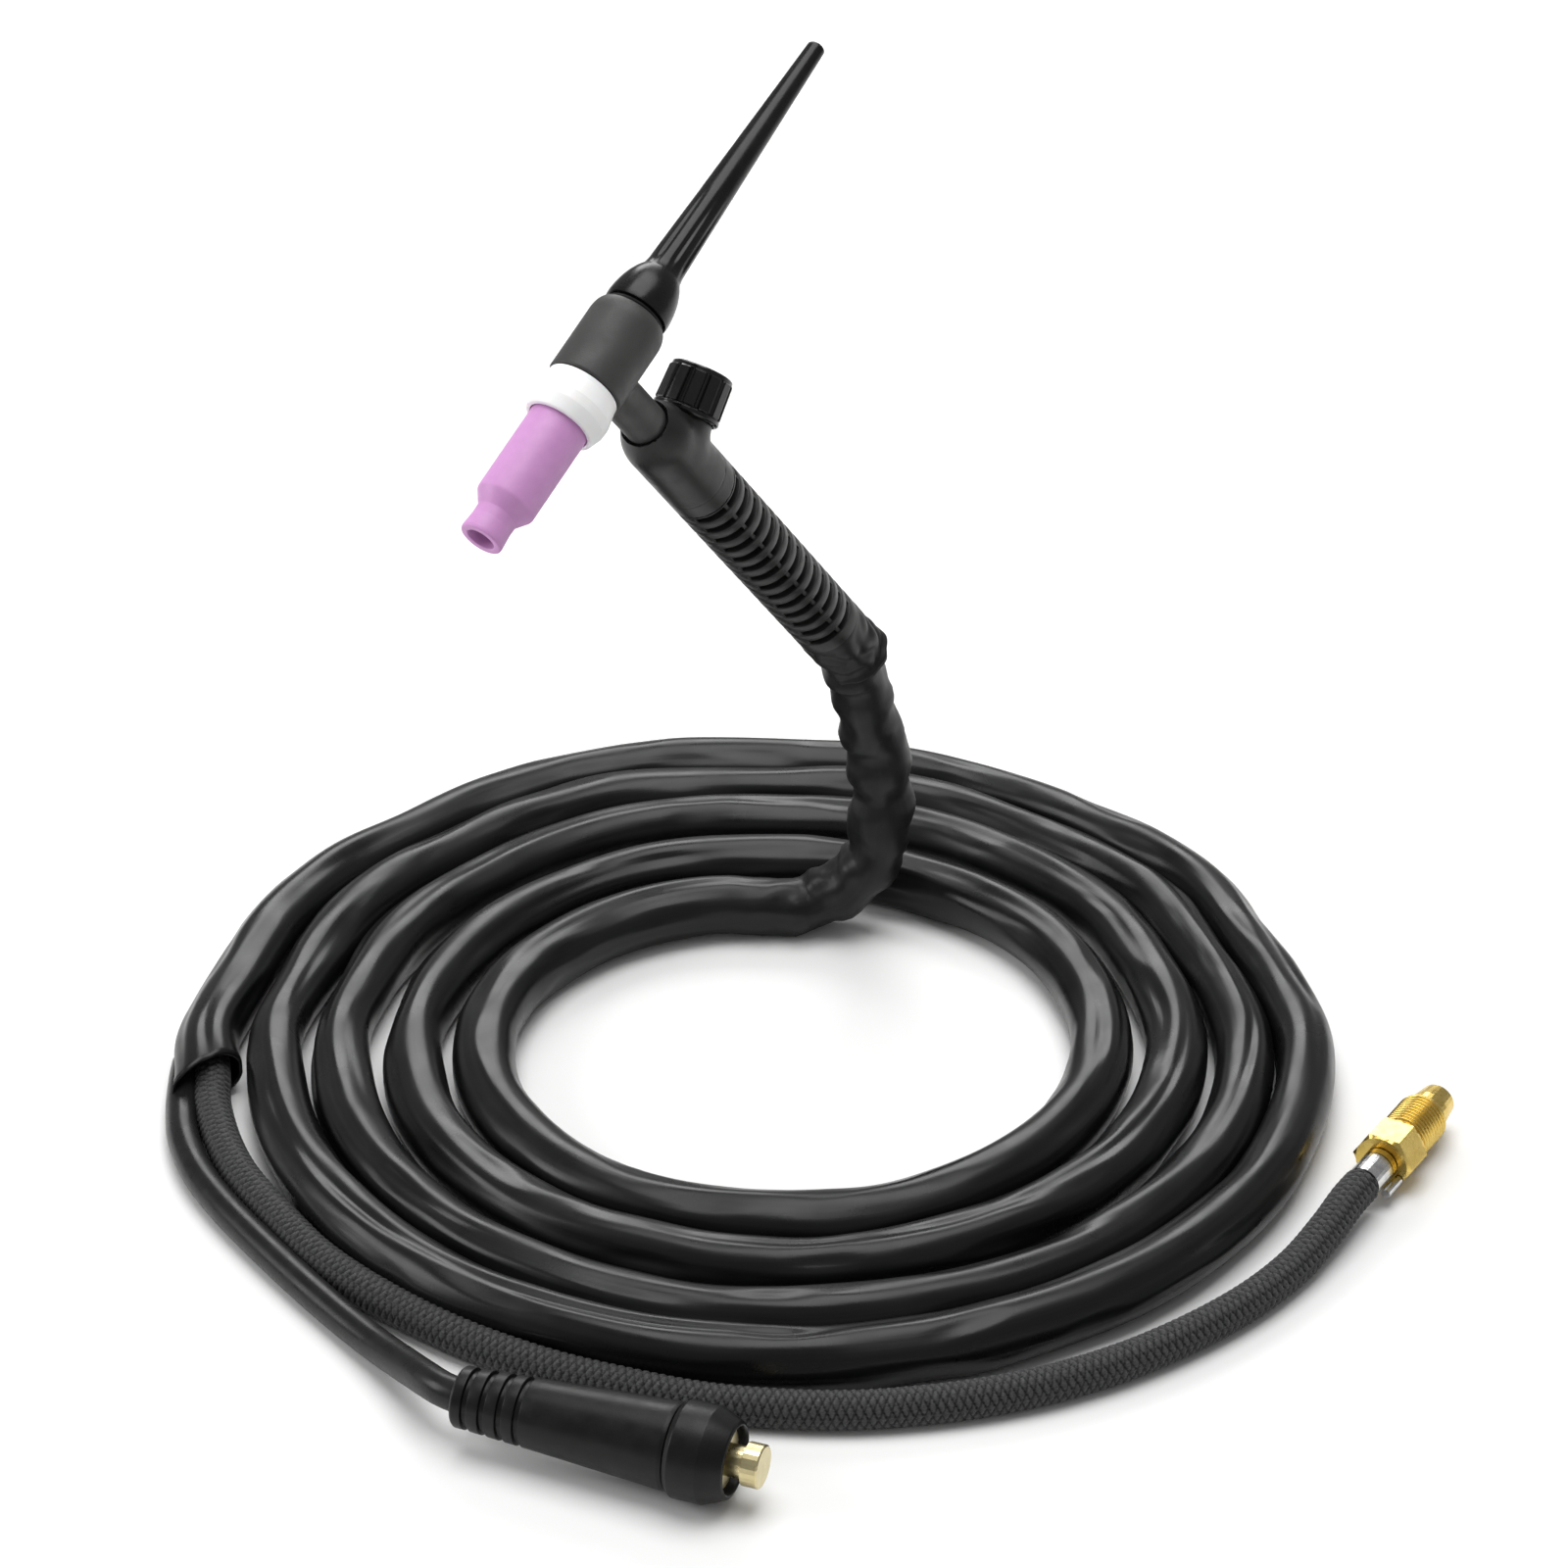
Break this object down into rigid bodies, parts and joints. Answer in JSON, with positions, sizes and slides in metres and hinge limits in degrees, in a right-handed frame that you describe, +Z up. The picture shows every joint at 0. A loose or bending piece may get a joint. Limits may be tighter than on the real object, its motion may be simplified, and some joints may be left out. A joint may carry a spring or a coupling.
{
  "type": "tig welding torch",
  "caption": "Gas-valve TIG torch: ceramic gas nozzle, long back cap, ribbed grip and valve knob, on a coiled covered cable with a bayonet power plug and a threaded gas union.",
  "frame": {"origin": "middle of the ribbed grip, on the grip's axis, where a hand holds the torch", "axes": "+Z up; the torch's mirror plane is XZ; +X is the side the gas nozzle points to, -X the side of the back cap"},
  "size_m": [0.3885, 0.3785, 0.3204],
  "materials": {
    "black_moulding": "satin glass-filled moulding",
    "black_gloss_plastic": "polished phenolic",
    "pink_alumina": "smooth fired alumina",
    "white_insulator": "turned fluoropolymer",
    "brass": "machined",
    "copper": "machined copper",
    "steel": "nickel plated",
    "black_rubber": "moulded",
    "cable_cover_skin": "smooth wrinkled sleeve",
    "black_braid": "woven braid"
  },
  "bodies": {
    "torch": {"torch_core": "brass", "head_jacket": "black_moulding", "collet_body": "copper", "collet": "copper", "valve_block": "black_moulding", "handle_grip": "black_moulding", "cable_boot": "black_rubber", "valve_manifold": "brass", "tail_adaptor": "brass", "gas_tail": "black_braid", "power_crimp": "copper", "power_tail": "black_rubber", "cable_riser": "cable_cover_skin", "cable_coil": "cable_cover_skin", "gas_hose": "black_braid", "power_lead": "black_rubber", "plug_cover": "black_rubber", "plug_front_ring": "black_rubber", "plug_contact": "brass", "plug_clamp_screw": "steel", "plug_cable_sleeve": "copper", "hose_ferrule": "steel", "hose_tail": "brass"},
    "valve_carrier": {"valve_o_ring": "black_rubber"},
    "valve_handwheel": {"valve_knob": "black_gloss_plastic", "valve_stem": "brass"},
    "cap_carrier": {"back_cap_o_ring": "black_rubber"},
    "long_cap": {"back_cap": "black_gloss_plastic"},
    "shield_carrier": {"heat_shield": "white_insulator"},
    "nozzle": {"gas_nozzle": "pink_alumina"},
    "union_nut": {"gas_nut": "brass", "nut_pin": "steel"}
  },
  "joints": [
    {"name": "valve_lift", "type": "slide", "parent": "torch", "child": "valve_carrier", "axis": [-0.6561, 0, 0.7547], "range_m": [0, 0.0015]},
    {"name": "valve_turn", "type": "hinge", "parent": "valve_carrier", "child": "valve_handwheel", "pos_m": [0.0492, 0, 0.0566], "axis": [-0.6561, 0, 0.7547], "range_deg": [0, 720]},
    {"name": "cap_lift", "type": "slide", "parent": "torch", "child": "cap_carrier", "axis": [-0.866, 0, 0.5], "range_m": [0, 0.005]},
    {"name": "cap_turn", "type": "hinge", "parent": "cap_carrier", "child": "long_cap", "pos_m": [0.08266, 0, 0.09509], "axis": [-0.866, 0, 0.5], "range_deg": [0, 1440]},
    {"name": "nozzle_advance", "type": "slide", "parent": "torch", "child": "shield_carrier", "axis": [0.866, 0, -0.5], "range_m": [0, 0.0054]},
    {"name": "nozzle_turn", "type": "hinge", "parent": "shield_carrier", "child": "nozzle", "pos_m": [0.08266, 0, 0.09509], "axis": [0.866, 0, -0.5], "range_deg": [0, 1080]},
    {"name": "gas_nut_turn", "type": "hinge", "parent": "torch", "child": "union_nut", "pos_m": [-0.0167, 0.2044, -0.1536], "axis": [-0.9979, -0.0645, 0], "continuous": true}
  ],
  "couplings": [
    {"joint": "valve_lift", "follows": "valve_turn", "m_per_rad": 0.00011937},
    {"joint": "cap_lift", "follows": "cap_turn", "m_per_rad": 0.00019894},
    {"joint": "nozzle_advance", "follows": "nozzle_turn", "m_per_rad": 0.00028648}
  ]
}
